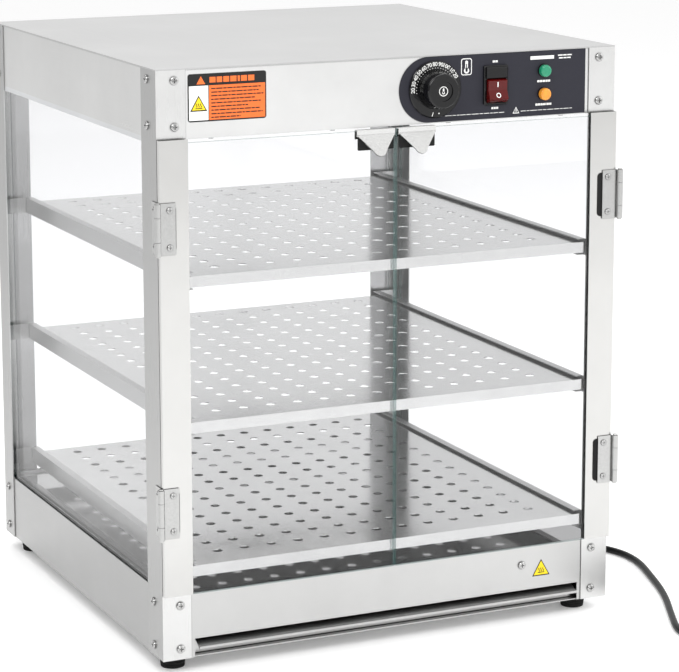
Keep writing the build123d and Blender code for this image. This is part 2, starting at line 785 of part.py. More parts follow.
# ---------------------------------------------------------------- crumb tray and guides
t = tray_sheet
wall_top = tray_floor + tray_wall
tray = block(-tray_half, tray_half, -tray_front, tray_rear, tray_floor, tray_floor + t)
for s in (-1, 1):
    tray += block(s * tray_half, s * (tray_half - t), -tray_front, tray_rear, tray_floor, wall_top)
tray += block(-tray_half, tray_half, tray_rear - t, tray_rear, tray_floor, wall_top)
tray += block(-tray_half, tray_half, -tray_front, -tray_front + t, tray_floor, wall_top)
with BuildSketch(Plane.YZ) as slope_sketch:
    with BuildLine():
        Polyline(
            (-tray_front + t, wall_top), (-tray_front, wall_top - t),
            (-tray_lip_reach + 1, tray_lip_height - t * 0.6),
            (-tray_lip_reach + 1, tray_lip_height + t * 0.6), close=True,
        )
    make_face()
tray += extrude(slope_sketch.sketch, tray_half, both=True)
tray += rod((-tray_half, -tray_lip_reach + 0.8, tray_lip_height), (1, 0, 0), tray_lip_radius,
            2 * tray_half)
put("crumb_tray", tray)
guide = block(
    tray_half + gap, tray_half + gap + 1.2, -hd + 12, hd - 12, panel_sheet, panel_sheet + 8
)
guide += block(
    tray_half + gap, tray_half + gap + 9, -hd + 12, hd - 12, panel_sheet, 2 * panel_sheet
)
put("tray_guides", *both(guide))

# ---------------------------------------------------------------- heater
step = 2 * heater_half / heater_fingers
route = []
for k in range(heater_fingers + 1):
    x = -heater_half + k * step
    ends = (-heater_span, heater_span) if k % 2 == 0 else (heater_span, -heater_span)
    route += [(x, y, heater_height) for y in ends]
heater_line = FilletPolyline(*route, radius=step * 0.45)
heater_start = Plane(origin=heater_line @ 0, z_dir=heater_line % 0)
put("heating_element", sweep(heater_start * Circle(heater_radius), path=heater_line))
bracket_top = deck_top - panel_sheet
brackets = []
for y in (heater_bracket_inset - heater_span, heater_span - heater_bracket_inset):
    bar = block(-heater_half - 30, heater_half + 30, y - 6, y + 6,
                heater_height + heater_radius, heater_height + heater_radius + 1.2)
    for x in (-heater_half - 30, heater_half + 28.8):
        bar += block(x, x + 1.2, y - 6, y + 6, heater_height + heater_radius, bracket_top)
    for k in range(heater_fingers + 1):
        x = -heater_half + k * step
        bar += block(x - 5.6, x - 4.2, y - 6, y + 6, heater_height - 3,
                     heater_height + heater_radius + 1)
        bar += block(x + 4.2, x + 5.6, y - 6, y + 6, heater_height - 3,
                     heater_height + heater_radius + 1)
    brackets.append(bar)
put("heater_brackets", *brackets)
terminal = block(*terminal_x, *terminal_y, panel_sheet, panel_sheet + terminal_height)
way_step = (terminal_x[1] - terminal_x[0]) / 4
for k in range(1, 4):
    hole = Cylinder(terminal_hole, terminal_height)
    terminal -= Pos(terminal_x[0] + k * way_step, sum(terminal_y) / 2, panel_sheet
                    + terminal_height) * hole
put("terminal_block", terminal)

# ---------------------------------------------------------------- feet
feet = []
for x, y in foot_centres:
    foot = Pos(x, y, -foot_height / 2) * Cone(foot_base_radius, foot_radius, foot_height)
    pitch = foot_height / (foot_grooves + 1)
    for k in range(foot_grooves):
        z = -foot_height + (k + 1) * pitch
        radius = foot_base_radius + (foot_radius - foot_base_radius) * (k + 1) / (foot_grooves + 1)
        ring = Cylinder(foot_radius + 1, 1.0) - Cylinder(radius - 1.0, 2.0)
        foot -= Pos(x, y, z) * ring
    foot += Pos(x, y, 3) * Cylinder(shank_radius, 8)
    foot += Pos(x, y, panel_sheet + 1.2) * Cylinder(nut_radius, 2.4)
    feet.append(foot)
put("feet", *feet)

# ---------------------------------------------------------------- cord
relief = rod((cord_exit_x, hd - 4, cord_exit_z), (0, 1, 0), relief_radius - 1.8, 6)
relief += rod((cord_exit_x, hd, cord_exit_z), (0, 1, 0), relief_radius, 3)
relief += Plane(origin=(cord_exit_x, hd + 3, cord_exit_z), z_dir=(0, 1, 0)) * Cone(
    relief_radius - 1.5, cord_radius + 1.6, relief_length - 3,
    align=(Align.CENTER, Align.CENTER, Align.MIN),
)
put("strain_relief", relief)
cord_floor = -foot_height + cord_radius


def cord_tube(points):
    """A tube of straight runs joined by the largest arcs that the runs allow."""
    places = [Vector(*p) for p in points]
    radii = []
    for before, corner_point, after in zip(places, places[1:], places[2:]):
        run_in = corner_point - before
        run_out = after - corner_point
        shorter = min(run_in.length, run_out.length)
        half_turn = radians(run_in.get_angle(run_out)) / 2
        radii.append(0.45 * shorter / tan(half_turn))
    path = FilletPolyline(*points, radius=radii)
    section = Plane(origin=path @ 0, z_dir=path % 0) * Circle(cord_radius)
    tube = sweep(section, path=path)
    print("cord arcs from", round(min(radii), 1), "to", round(max(radii), 1))
    print("cord length", round(path.length, 1), "volume ratio",
          round(tube.volume / (path.length * section.area), 4))
    return tube


cord_route = [
    (cord_exit_x, hd + relief_length, cord_exit_z),
    (178.5, 304.0, 22.0),
    (181.0, 332.0, 5.0),
    (190.0, 358.0, cord_floor),
    (216.0, 380.0, cord_floor),
    (256.0, 384.0, cord_floor),
    (296.0, 362.0, cord_floor),
    (322.0, 318.0, cord_floor),
    (333.0, 258.0, cord_floor),
    (330.0, 185.0, cord_floor),
    (322.0, 108.0, cord_floor),
    (320.0, 34.0, cord_floor),
    (334.0, -30.0, cord_floor),
    (364.0, -80.0, cord_floor),
    (367.0, -122.0, cord_floor),
    (351.0, -176.0, cord_floor),
    (330.0, -240.0, cord_floor),
    (299.0, -304.0, cord_floor),
    (277.0, -352.0, cord_floor),
    (284.0, -386.0, cord_floor),
    (312.0, -398.0, cord_floor),
    (340.0, -391.0, cord_floor),
]
tail_out = coil_outer - cord_radius
coil_high = cord_floor + 2 * cord_radius
tail_route = [
    (coil_x + tail_out, coil_y, coil_high),
    (coil_x + tail_out + 1.0, coil_y + 28.0, coil_high - 3.0),
    (coil_x + tail_out + 5.0, coil_y + 54.0, cord_floor + 1.0),
    (coil_x + tail_out + 8.0, coil_y + 78.0, cord_floor),
]
put("cord", cord_tube(cord_route), cord_tube(tail_route))
coil_foot = Pos(coil_x, coil_y, -foot_height)
ring = Cylinder(coil_outer, 4 * cord_radius) - Cylinder(coil_inner, 6 * cord_radius)
ring = fillet(ring.edges().filter_by(GeomType.CIRCLE), cord_radius * 0.8)
put("cord_coil", coil_foot * Pos(0, 0, 2 * cord_radius) * ring)

plug_at = Vector(*tail_route[-1])
plug_low = -foot_height
body = block(-plug_width / 2, plug_width / 2, 0, plug_length, 0, plug_thick)
body = fillet(body.edges().filter_by(Axis.Y), 5.0)
body = chamfer(body.edges().group_by(Axis.Y)[0], 2.0)
plug = Pos(plug_at.X, plug_at.Y, plug_low) * body
put("plug_body", plug)
blade_y = plug_at.Y + plug_length
blade_z = plug_low + plug_thick / 2 + 1
blade = Box(blade_thick, blade_length, blade_width)
blades = [
    Pos(plug_at.X + side * blade_spacing / 2, blade_y + blade_length / 2, blade_z) * blade
    for side in (-1, 1)
]
blades.append(rod((plug_at.X, blade_y, plug_low + earth_rise), (0, 1, 0), earth_radius, earth_length))
put("plug_blades", *blades)
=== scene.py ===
import bpy
import bmesh
from math import atan, cos, pi, radians, sin
from mathutils import Matrix, Vector


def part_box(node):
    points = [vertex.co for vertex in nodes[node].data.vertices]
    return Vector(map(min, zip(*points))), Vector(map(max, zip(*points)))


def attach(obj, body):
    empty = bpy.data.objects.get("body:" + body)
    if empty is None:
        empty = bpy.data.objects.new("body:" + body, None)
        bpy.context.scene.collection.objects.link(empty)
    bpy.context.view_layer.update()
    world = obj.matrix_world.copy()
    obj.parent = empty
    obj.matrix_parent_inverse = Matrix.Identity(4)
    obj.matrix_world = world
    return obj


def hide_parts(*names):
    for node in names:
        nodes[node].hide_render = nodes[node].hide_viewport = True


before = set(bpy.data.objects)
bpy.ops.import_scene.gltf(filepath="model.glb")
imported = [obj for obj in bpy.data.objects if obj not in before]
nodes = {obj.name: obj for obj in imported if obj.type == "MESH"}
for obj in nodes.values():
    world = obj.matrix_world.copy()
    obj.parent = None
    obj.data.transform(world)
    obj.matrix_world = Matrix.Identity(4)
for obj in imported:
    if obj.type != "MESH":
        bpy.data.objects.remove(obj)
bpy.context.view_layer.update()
scene = bpy.context.scene
MM = 0.001
COVER_HEIGHT = 584.0


# ---------------------------------------------------------------- places from the frame
def box(name):
    """The lowest and highest corners of a node."""
    low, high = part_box(name)
    return Vector(low), Vector(high)


cover_low, cover_high = box("top_cover")
fascia_low, fascia_high = box("control_fascia")
overlay_low, overlay_high = box("control_overlay")
knob_low, knob_high = box("thermostat_knob")
switch_low, switch_high = box("switch_housing")
green_low, green_high = box("green_lamp_lens")
amber_low, amber_high = box("amber_lamp_lens")
base_low, base_high = box("base_front_panel")
door_glass = {side: box(f"{side}_door_glass") for side in ("left", "right")}
centre_y = (cover_low.y + cover_high.y) / 2
floor_z = 0.0
body_z = cover_high.z - COVER_HEIGHT * MM


def at(x, y, z):
    """A place given in millimetres from the cabinet's centre and its posts' feet."""
    return Vector((x * MM, y * MM + centre_y, z * MM + body_z))


# ---------------------------------------------------------------- camera
CAMERA_PLACE = (-1143.2, -2601.1, 881.6)
CAMERA_YAW = 24.754
CAMERA_PITCH = 10.708
CAMERA_ROLL = 0.066
CAMERA_LENS = 142.0
CAMERA_SHIFT = -0.12


def add_camera():
    """A long lens from the front left and a little above."""
    data = bpy.data.cameras.new("camera")
    data.sensor_width = 36.0
    data.lens = CAMERA_LENS
    data.shift_y = CAMERA_SHIFT
    data.dof.use_dof = False
    camera = bpy.data.objects.new("camera", data)
    scene.collection.objects.link(camera)
    camera.location = at(*CAMERA_PLACE)
    turn = Matrix.Rotation(radians(-CAMERA_YAW), 4, "Z")
    tilt = Matrix.Rotation(radians(90 - CAMERA_PITCH), 4, "X")
    roll = Matrix.Rotation(radians(-CAMERA_ROLL), 4, "Z")
    camera.rotation_euler = (turn @ tilt @ roll).to_euler()
    scene.camera = camera


add_camera()


# ---------------------------------------------------------------- material helpers
# Reach of the painted shade in grooves and along contacts, in metres.
CREASE_SHADE_REACH = 0.0016


class Nodes:
    """A material's node tree with short calls for the nodes that the surfaces use."""

    def __init__(self, name):
        self.material = bpy.data.materials.new(name)
        self.material.use_nodes = True
        self.tree = self.material.node_tree
        self.shader = self.tree.nodes["Principled BSDF"]
        self.place = self.tree.nodes.new("ShaderNodeTexCoord").outputs["Object"]

    def new(self, kind, **values):
        """A node with its own properties set."""
        node = self.tree.nodes.new(kind)
        for key, value in values.items():
            setattr(node, key, value)
        return node

    def link(self, a, b):
        """A link from an output to an input."""
        self.tree.links.new(a, b)

    def scaled(self, scale):
        """Coordinates stretched along each axis."""
        node = self.new("ShaderNodeMapping")
        node.inputs["Scale"].default_value = scale
        self.link(self.place, node.inputs["Vector"])
        return node.outputs["Vector"]

    def noise(self, scale, stretch=(1, 1, 1), detail=4.0, roughness=0.55):
        """Fractal noise in the object's own coordinates."""
        node = self.new("ShaderNodeTexNoise")
        node.inputs["Scale"].default_value = scale
        node.inputs["Detail"].default_value = detail
        node.inputs["Roughness"].default_value = roughness
        self.link(self.scaled(stretch), node.inputs["Vector"])
        return node.outputs["Fac"]

    def ramp(self, source, stops):
        """Colours picked from stops by a value."""
        node = self.new("ShaderNodeValToRGB")
        while len(node.color_ramp.elements) < len(stops):
            node.color_ramp.elements.new(0.5)
        for element, (place, colour) in zip(node.color_ramp.elements, stops):
            element.position = place
            value = colour if isinstance(colour, tuple) else (colour, colour, colour)
            element.color = (*value, 1.0)
        self.link(source, node.inputs["Fac"])
        return node.outputs["Color"]

    def range(self, source, low, high):
        """A value from 0 to 1 spread over a range."""
        node = self.new("ShaderNodeMapRange")
        node.inputs["To Min"].default_value = low
        node.inputs["To Max"].default_value = high
        self.link(source, node.inputs["Value"])
        return node.outputs["Result"]

    def maths(self, kind, a, b):
        """One sum on two values."""
        node = self.new("ShaderNodeMath", operation=kind)
        for socket, value in zip(node.inputs, (a, b)):
            if isinstance(value, (int, float)):
                socket.default_value = value
            else:
                self.link(value, socket)
        return node.outputs["Value"]

    def bump(self, source, strength, distance, after=None):
        """Relief on the shader's normal, over an earlier relief if there is one."""
        node = self.new("ShaderNodeBump")
        node.inputs["Strength"].default_value = strength
        node.inputs["Distance"].default_value = distance
        self.link(source, node.inputs["Height"])
        if after is not None:
            self.link(after, node.inputs["Normal"])
        self.link(node.outputs["Normal"], self.shader.inputs["Normal"])
        return node.outputs["Normal"]

    def creased(self, colour, reach):
        """The colour darkened by painted shade in grooves and along contacts within a reach in metres.
        """
        node = self.new("ShaderNodeAmbientOcclusion", samples=4)
        node.inputs["Distance"].default_value = reach
        self.link(colour, node.inputs["Color"])
        return node.outputs["Color"]

    def set(self, **values):
        """The shader's sockets set or linked; gives the material back."""
        for key, value in values.items():
            socket = self.shader.inputs[key.replace("_", " ")]
            if isinstance(value, bpy.types.NodeSocket):
                self.link(value, socket)
            else:
                socket.default_value = (*value, 1.0) if isinstance(value, tuple) else value
        return self.material


def brushed(name, tint, rough, grain, strength=0.12, waves=0.0, side=1.0):
    """Stainless sheet with fine grain along one axis, smudges and slow waviness.

    Below 1, side darkens the faces that look along X, which imitates the photograph's light.
    """
    n = Nodes(name)
    stretch = tuple(12.0 if axis == grain else 1400.0 for axis in "xyz")
    lines = n.noise(1.0, stretch, 3.0, 0.6)
    smudge = n.noise(9.0, (1, 1, 1), 5.0, 0.6)
    shade = n.ramp(smudge, [(0.3, tuple(c * 0.9 for c in tint)), (0.75, tint)])
    roughness = n.range(n.maths("ADD", lines, smudge), rough * 0.7, rough * 1.35)
    fine = n.bump(lines, strength, 0.0002)
    if waves:
        n.bump(n.noise(6.0, (1, 1, 1), 1.0, 0.4), waves, 0.01, fine)
    # Painted shade: faces that look along X are darkened by the side factor.
    if side < 1.0:
        split = n.new("ShaderNodeSeparateXYZ")
        n.link(n.new("ShaderNodeNewGeometry").outputs["Normal"], split.inputs[0])
        facing = n.maths("GREATER_THAN", n.maths("ABSOLUTE", split.outputs["X"], 0.0), 0.5)
        side_shade = n.new("ShaderNodeVectorMath", operation="SCALE")
        n.link(shade, side_shade.inputs["Vector"])
        n.link(n.range(facing, 1.0, side), side_shade.inputs["Scale"])
        shade = side_shade.outputs["Vector"]
    # Painted shade darkens the sheet's grooves and contacts.
    return n.set(Base_Color=n.creased(shade, CREASE_SHADE_REACH), Metallic=1.0, Roughness=roughness)


def polished(name, tint, rough, waves=0.05):
    """Mirror-like sheet with faint handling marks and slow waviness."""
    n = Nodes(name)
    smudge = n.noise(14.0, (1, 1, 1), 6.0, 0.65)
    shade = n.ramp(smudge, [(0.25, tuple(c * 0.86 for c in tint)), (0.8, tint)])
    roughness = n.range(smudge, rough * 0.5, rough * 1.6)
    n.bump(n.noise(5.0, (1, 1, 1), 1.0, 0.4), waves, 0.01)
    return n.set(Base_Color=shade, Metallic=1.0, Roughness=roughness)


def plated(name, tint, rough):
    """Turned or pressed hardware with small tool marks."""
    n = Nodes(name)
    marks = n.noise(900.0, (1, 1, 1), 3.0, 0.6)
    shade = n.ramp(marks, [(0.3, tuple(c * 0.8 for c in tint)), (0.7, tint)])
    n.bump(marks, 0.08, 0.0001)
    # Painted shade darkens the hardware's grooves and contacts.
    return n.set(Base_Color=n.creased(shade, CREASE_SHADE_REACH), Metallic=1.0,
                 Roughness=n.range(marks, rough * 0.7, rough * 1.4))


def moulded(name, colour, rough, grain=700.0, strength=0.15, coat=0.0, specular=0.3):
    """Moulded plastic or rubber with a fine grained skin and slight colour drift."""
    n = Nodes(name)
    skin = n.noise(grain, (1, 1, 1), 3.0, 0.6)
    drift = n.noise(22.0, (1, 1, 1), 4.0, 0.6)
    lighter = tuple(c * 1.25 + 0.001 for c in colour)
    shade = n.ramp(drift, [(0.3, colour), (0.75, lighter)])
    n.bump(skin, strength, 0.0002)
    return n.set(Base_Color=shade, Roughness=n.range(skin, rough * 0.8, rough * 1.2),
                 Coat_Weight=coat, Specular_IOR_Level=specular)


def pane_glass(name, axis):
    """Clear pane whose faces look along one axis; its ground edges show green."""
    n = Nodes(name)
    weight = n.new("ShaderNodeLayerWeight")
    weight.inputs["Blend"].default_value = 0.5
    rise = n.maths("POWER", weight.outputs["Facing"], 4.0)
    mirror = n.maths("ADD", n.maths("MULTIPLY", rise, 0.6), 0.03)
    film = n.noise(7.0, (1, 1, 2.5), 5.0, 0.6)
    gloss = n.new("ShaderNodeBsdfGlossy")
    n.link(n.range(film, 0.0, 0.03), gloss.inputs["Roughness"])
    clear = n.new("ShaderNodeBsdfTransparent")
    clear.inputs["Color"].default_value = (0.983, 0.984, 0.988, 1)
    face = n.new("ShaderNodeMixShader")
    n.link(mirror, face.inputs[0])
    n.link(clear.outputs[0], face.inputs[1])
    n.link(gloss.outputs[0], face.inputs[2])
    edge = n.new("ShaderNodeMixShader")
    edge.inputs[0].default_value = 0.6
    n.set(Base_Color=n.ramp(film, [(0.2, (0.05, 0.15, 0.14)), (0.8, (0.20, 0.34, 0.32))]),
          Roughness=0.25)
    n.link(clear.outputs[0], edge.inputs[1])
    n.link(n.shader.outputs[0], edge.inputs[2])
    split = n.new("ShaderNodeSeparateXYZ")
    n.link(n.new("ShaderNodeNewGeometry").outputs["Normal"], split.inputs[0])
    facing = n.maths("GREATER_THAN", n.maths("ABSOLUTE", split.outputs[axis], 0.0), 0.5)
    both = n.new("ShaderNodeMixShader")
    n.link(facing, both.inputs[0])
    n.link(edge.outputs[0], both.inputs[1])
    n.link(face.outputs[0], both.inputs[2])
    n.link(both.outputs[0], n.tree.nodes["Material Output"].inputs["Surface"])
    return n.material


def lens_plastic(name, colour, glow):
    """Ribbed indicator lens, translucent and faintly lit."""
    n = Nodes(name)
    cells = n.new("ShaderNodeTexVoronoi")
    cells.inputs["Scale"].default_value = 900.0
    n.link(n.place, cells.inputs["Vector"])
    shade = n.ramp(n.noise(160.0), [(0.3, tuple(c * 0.7 for c in colour)), (0.7, colour)])
    n.bump(cells.outputs["Distance"], 0.6, 0.0004)
    n.set(Base_Color=shade, Roughness=0.12, Transmission_Weight=0.25, Coat_Weight=0.5)
    return n.set(Emission_Color=colour, Emission_Strength=glow)


def print_ink(name, colour, rough=0.45, specular=0.3):
    """Printed ink with a fine screen-print mottle."""
    n = Nodes(name)
    mottle = n.noise(1500.0, (1, 1, 1), 2.0, 0.5)
    shade = n.ramp(mottle, [(0.25, tuple(c * 0.88 for c in colour)), (0.7, colour)])
    return n.set(Base_Color=shade, Roughness=n.range(mottle, rough * 0.85, rough * 1.15),
                 Specular_IOR_Level=specular)


mats = {
    # steel_tall paints shade on its faces that look along X.
    "steel_tall": brushed("steel_tall", (0.70, 0.70, 0.694), 0.22, "z", 0.10, 0.04, 0.62),
    "steel_wide": brushed("steel_wide", (0.56, 0.56, 0.555), 0.24, "x", 0.10, 0.05),
    # Painted shade: a darker copy of the steel, used on the base side panels and the rails, guides and
    # brackets.
    "steel_deep_shaded": brushed("steel_deep_shaded", (0.43, 0.43, 0.427), 0.24, "y", 0.10, 0.05),
    "steel_head": brushed("steel_head", (0.68, 0.68, 0.674), 0.24, "y", 0.10, 0.05),
    "fascia": brushed("fascia_steel", (0.74, 0.74, 0.735), 0.24, "x", 0.08, 0.04),
    "cover": brushed("cover_steel", (0.54, 0.54, 0.538), 0.26, "y", 0.08, 0.04),
    "shelf": polished("shelf_steel", (0.60, 0.60, 0.594), 0.15, 0.10),
    "mirror_deck": polished("deck_steel", (0.37, 0.37, 0.367), 0.05, 0.04),
    "stile": brushed("stile_steel", (0.60, 0.597, 0.585), 0.16, "z", 0.06, 0.06),
    "leaf": plated("leaf_steel", (0.50, 0.50, 0.495), 0.22),
    "handle": plated("handle_steel", (0.80, 0.80, 0.79), 0.2),
    "hardware": plated("hardware", (0.62, 0.62, 0.61), 0.2),
    "screw": plated("screw_steel", (0.5, 0.5, 0.495), 0.1),
    "channel": brushed("channel", (0.78, 0.79, 0.8), 0.35, "y", 0.05),
    "glass_y": pane_glass("pane_front", "Y"),
    "glass_x": pane_glass("pane_side", "X"),
    "overlay": print_ink("overlay_ink", (0.024, 0.024, 0.033), 0.4, 0.2),
    "plastic": moulded("black_plastic", (0.002, 0.002, 0.0024), 0.13, 700.0, 0.02, 0.0, 0.45),
    "rubber": moulded("black_rubber", (0.010, 0.010, 0.010), 0.7, 500.0, 0.25, 0.0, 0.2),
    "cord": moulded("cord_jacket", (0.003, 0.003, 0.0034), 0.4, 380.0, 0.15, 0.0, 0.2),
    "red": moulded("rocker_red", (0.075, 0.0015, 0.0015), 0.16, 300.0, 0.03, 0.1, 0.3),
    "green": lens_plastic("lens_green", (0.01, 0.33, 0.17), 0.12),
    "amber": lens_plastic("lens_amber", (0.92, 0.36, 0.03), 0.18),
    "white": print_ink("ink_white", (0.86, 0.86, 0.84)),
    "yellow": print_ink("ink_yellow", (0.90, 0.68, 0.02)),
    "orange": print_ink("ink_orange", (0.86, 0.17, 0.035)),
    "black": print_ink("ink_black", (0.012, 0.012, 0.012)),
    "brass": plated("blade_brass", (0.72, 0.55, 0.28), 0.25),
    "heater": plated("heater_sheath", (0.2, 0.18, 0.16), 0.5),
}

LOOK = {
    "steel_tall": ["front_left_post", "front_right_post", "rear_left_post", "rear_right_post"],
    "fascia": ["control_fascia"],
    "steel_wide": ["base_front_panel", "top_rear_panel", "base_rear_panel",
                   "crumb_tray", "base_pan", "ceiling_pan"],
    "steel_head": ["top_left_panel", "top_right_panel"],
    "steel_deep_shaded": ["base_left_panel", "base_right_panel",
                   "shelf_rails", "tray_guides", "heater_brackets"],
    "cover": ["top_cover"],
    "shelf": ["upper_shelf", "middle_shelf", "lower_shelf"],
    "mirror_deck": ["deck_plate"],
    "stile": ["left_door_stile", "right_door_stile"],
    "screw": ["case_screws", "ceiling_screws", "left_door_hinge_screws",
              "right_door_hinge_screws", "post_hinge_screws"],
    "leaf": ["left_door_leaves", "right_door_leaves", "post_hinge_leaves"],
    "handle": ["left_door_handle", "right_door_handle"],
    "hardware": ["hinge_pins", "knob_shaft", "sensing_bulb"],
    "channel": ["glass_channels"],
    "glass_x": ["left_glass", "right_glass"],
    "glass_y": ["rear_glass", "left_door_glass", "right_door_glass"],
    "overlay": ["control_overlay"],
    "plastic": ["thermostat_knob", "switch_housing", "thermostat_body", "terminal_block",
                "lamp_holders", "plug_body"],
    "rubber": ["feet", "strain_relief"],
    "red": ["power_rocker"],
    "green": ["green_lamp_lens"],
    "amber": ["amber_lamp_lens"],
    "heater": ["heating_element"],
    "brass": ["plug_blades"],
}
for look, names in LOOK.items():
    for name in names:
        for slot in nodes[name].material_slots:
            slot.material = mats[look]


# ---------------------------------------------------------------- cord
CORD_RADIUS = 3.6
FLOOR = -16.0 + CORD_RADIUS
COIL = (352.0, -345.0)
COIL_OUTER = 43.4
COIL_STEP = 2 * CORD_RADIUS
ROUTE = [
    (178, 276, 24), (178.5, 304, 22), (181, 332, 5), (190, 358, FLOOR), (216, 380, FLOOR),
    (256, 384, FLOOR), (296, 362, FLOOR), (322, 318, FLOOR), (333, 258, FLOOR), (330, 185, FLOOR),
    (322, 108, FLOOR), (320, 34, FLOOR), (334, -30, FLOOR), (364, -80, FLOOR), (367, -122, FLOOR),
    (351, -176, FLOOR), (330, -240, FLOOR), (299, -304, FLOOR), (277, -352, FLOOR),
    (284, -386, FLOOR), (312, -398, FLOOR), (340, -391, FLOOR),
]


def coil_points():
    """Two layers of turns: inwards on the floor, then outwards on top, ending beside the plug."""
    turns = 3.25
    per_turn = 16
    count = int(turns * per_turn)
    points = []
    for k in range(1, count):
        part = k / count
        angle = radians(-90 + 360 * turns * part)
        inward = 1 - abs(1 - 2 * part)
        radius = COIL_OUTER - COIL_STEP * inward * turns / 2
        rise = min(max((part - 0.44) / 0.12, 0.0), 1.0)
        points.append((COIL[0] + radius * cos(angle), COIL[1] + radius * sin(angle),
                       FLOOR + COIL_STEP * rise))
    return points


TAIL = [
    (COIL[0] + COIL_OUTER, COIL[1], FLOOR + COIL_STEP),
    (COIL[0] + COIL_OUTER + 1, COIL[1] + 28, FLOOR + COIL_STEP - 3),
    (COIL[0] + COIL_OUTER + 5, COIL[1] + 54, FLOOR + 1),
    (COIL[0] + COIL_OUTER + 8, COIL[1] + 78, FLOOR),
]


def add_cord():
    """The mains cord as one smooth spline: its route, its coil and its tail to the plug."""
    curve = bpy.data.curves.new("mains_cord", "CURVE")
    curve.dimensions = "3D"
    curve.bevel_depth = CORD_RADIUS * MM
    curve.bevel_resolution = 4
    curve.resolution_u = 8
    curve.use_fill_caps = True
    spline = curve.splines.new("NURBS")
    points = ROUTE + coil_points() + TAIL
    spline.points.add(len(points) - 1)
    for target, place in zip(spline.points, points):
        target.co = (*at(*place), 1.0)
    spline.order_u = 3
    spline.use_endpoint_u = True
    cord = bpy.data.objects.new("mains_cord", curve)
    scene.collection.objects.link(cord)
    curve.materials.append(mats["cord"])
    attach(cord, "cabinet")
    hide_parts("cord", "cord_coil")


add_cord()


# ---------------------------------------------------------------- mesh helpers
def piece(name, mesh, body, look):
    """An object with one material that rides on a body."""
    obj = bpy.data.objects.new(name, mesh)
    scene.collection.objects.link(obj)
    obj.data.materials.append(mats[look])
    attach(obj, body)
    return obj


def front_sheet(name, outlines, y, thick, body, look):
    """Thin flat shapes that face the front: each outline is a list of (x, z) in millimetres."""
    bm = bmesh.new()
    for outline in outlines:
        face = bm.faces.new([bm.verts.new(at(x, y, z)) for x, z in outline])
        moved = bmesh.ops.extrude_face_region(bm, geom=[face])
        verts = [g for g in moved["geom"] if isinstance(g, bmesh.types.BMVert)]
        bmesh.ops.translate(bm, verts=verts, vec=Vector((0, -thick * MM, 0)))
    bmesh.ops.recalc_face_normals(bm, faces=bm.faces)
    mesh = bpy.data.meshes.new(name)
    bm.to_mesh(mesh)
    bm.free()
    return piece(name, mesh, body, look)


def rectangle(x0, x1, z0, z1):
    """Outline of an upright rectangle."""
    return [(x0, z0), (x1, z0), (x1, z1), (x0, z1)]


def rounded(x0, x1, z0, z1, r, steps=6):
    """Outline of a rectangle with round corners."""
    points = []
    for cx, cz, start in ((x1 - r, z1 - r, 0), (x0 + r, z1 - r, 90), (x0 + r, z0 + r, 180),
                          (x1 - r, z0 + r, 270)):
        for k in range(steps + 1):
            a = radians(start + 90 * k / steps)
            points.append((cx + r * cos(a), cz + r * sin(a)))
    return points


def disc(x, z, r, steps=40):
    """Outline of a disc."""
    return [(x + r * cos(2 * pi * k / steps), z + r * sin(2 * pi * k / steps))
            for k in range(steps)]


def triangle(x, z, w, h):
    """Outline of an upright triangle."""
    return [(x - w / 2, z - h / 2), (x + w / 2, z - h / 2), (x, z + h / 2)]


# ---------------------------------------------------------------- printed controls
PRINT = 0.15
ROCKER_TILT = 10.0
ROCKER_DROP = 5.6
ROCKER_VALLEY = 5.6
ROCKER_TIP = 9.0
ROCKER_REACH = 12.0 * 1.2
ROCKER_MARK_AT = 5.4
overlay_face = (overlay_low.y - centre_y) / MM
fascia_face = (fascia_low.y - centre_y) / MM
KNOB = ((knob_low.x + knob_high.x) / 2 / MM, ((knob_low.z + knob_high.z) / 2 - body_z) / MM)
SWITCH = ((switch_low.x + switch_high.x) / 2 / MM,
          ((switch_low.z + switch_high.z) / 2 - body_z) / MM)
LAMP_X = (green_low.x + green_high.x) / 2 / MM
MARK = (166.0, 575.6)
SIGN = (136.6, 523.9)
THERMOMETER = (80.2, 570.5)
SMALL_LINE_Z = 522.6
CAUTION = (-217.0, -136.0, 532.0, 578.0)
HOT_STICKER = (172.6, 41.0)
HINGE_HALF = 25.0
LAMP_Z = [((low.z + high.z) / 2 - body_z) / MM
          for low, high in ((green_low, green_high), (amber_low, amber_high))]


def bars(x, z, widths, height=1.7, space=1.0):
    """Short blocks in a row, centred on x, standing for a caption."""
    total = sum(widths) + space * (len(widths) - 1)
    left = x - total / 2
    shapes = []
    for width in widths:
        shapes.append(rectangle(left, left + width, z - height / 2, z + height / 2))
        left += width + space
    return shapes


